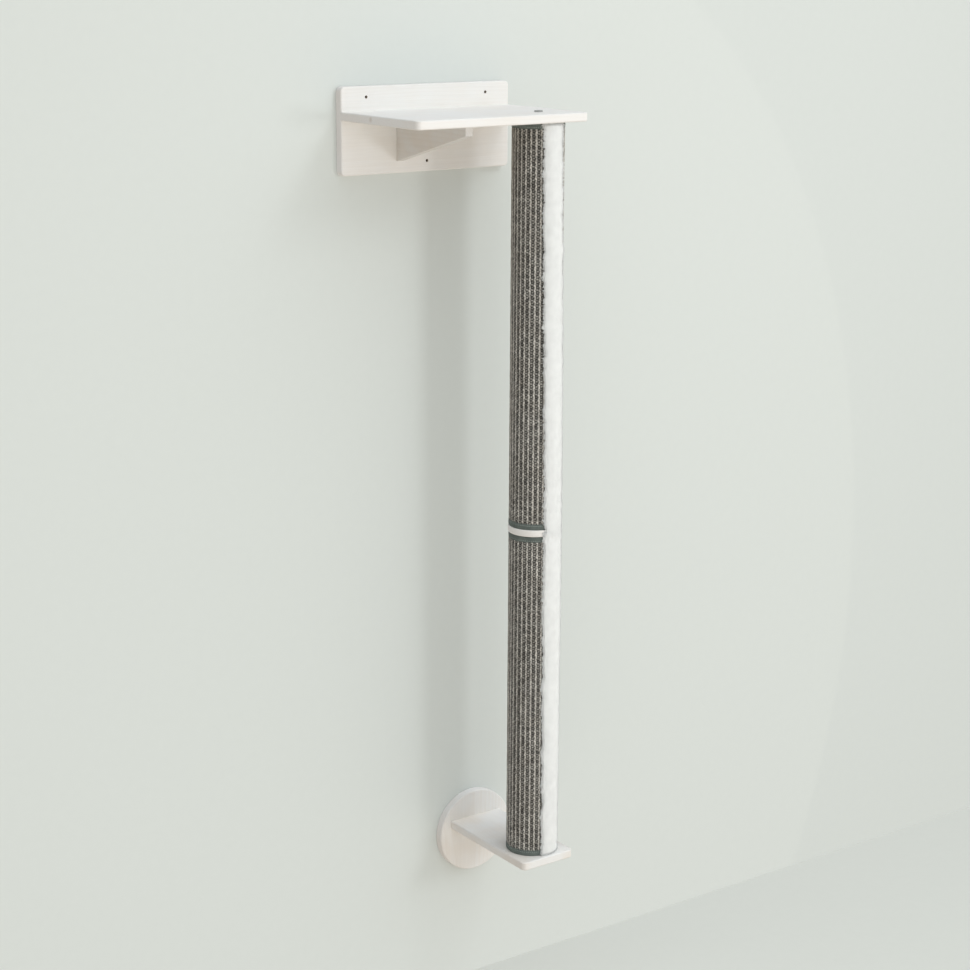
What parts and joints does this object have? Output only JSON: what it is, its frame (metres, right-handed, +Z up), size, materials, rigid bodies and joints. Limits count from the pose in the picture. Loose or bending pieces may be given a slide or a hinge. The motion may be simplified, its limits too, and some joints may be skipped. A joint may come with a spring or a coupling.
{
  "type": "wall-mounted cat climbing post",
  "caption": "Wall-hung cat climbing post: a board shelf on a wall plate, a sisal-covered post with a white plush strip, and a foot arm on a round wall plate.",
  "frame": {"origin": "middle of the wall plate's back face, on the wall", "axes": "+X to the right along the wall, +Y into the wall, +Z up along the post"},
  "size_m": [0.359, 0.245, 1.477],
  "materials": {
    "glazed_pine": "white glazed pine, satin",
    "plug_wood": "raw turned wood",
    "cardboard": "wound cardboard",
    "sisal": "woven sisal carpet, dark and light wales",
    "hem_binding": "woven binding tape, stitched",
    "white_plush": "deep white plush",
    "zinc_steel": "zinc plated",
    "bolt_steel": "grey zinc plated"
  },
  "bodies": {
    "root": {"wall_plate": "glazed_pine", "shelf": "glazed_pine", "shelf_bracket": "glazed_pine", "joint_disc": "glazed_pine", "lower_arm": "glazed_pine", "round_wall_plate": "glazed_pine", "upper_end_plugs": "plug_wood", "lower_end_plugs": "plug_wood", "upper_tube": "cardboard", "lower_tube": "cardboard", "upper_sisal_cover": "sisal", "lower_sisal_cover": "sisal", "upper_hems": "hem_binding", "lower_hems": "hem_binding", "upper_plush_strip": "white_plush", "lower_plush_strip": "white_plush", "upper_inserts": "zinc_steel", "lower_inserts": "zinc_steel", "joint_stud": "zinc_steel", "shelf_rear_screws": "zinc_steel", "bracket_rear_screws": "zinc_steel", "arm_rear_screws": "zinc_steel", "shelf_bolt": "bolt_steel", "arm_bolt": "bolt_steel"}
  },
  "joints": []
}
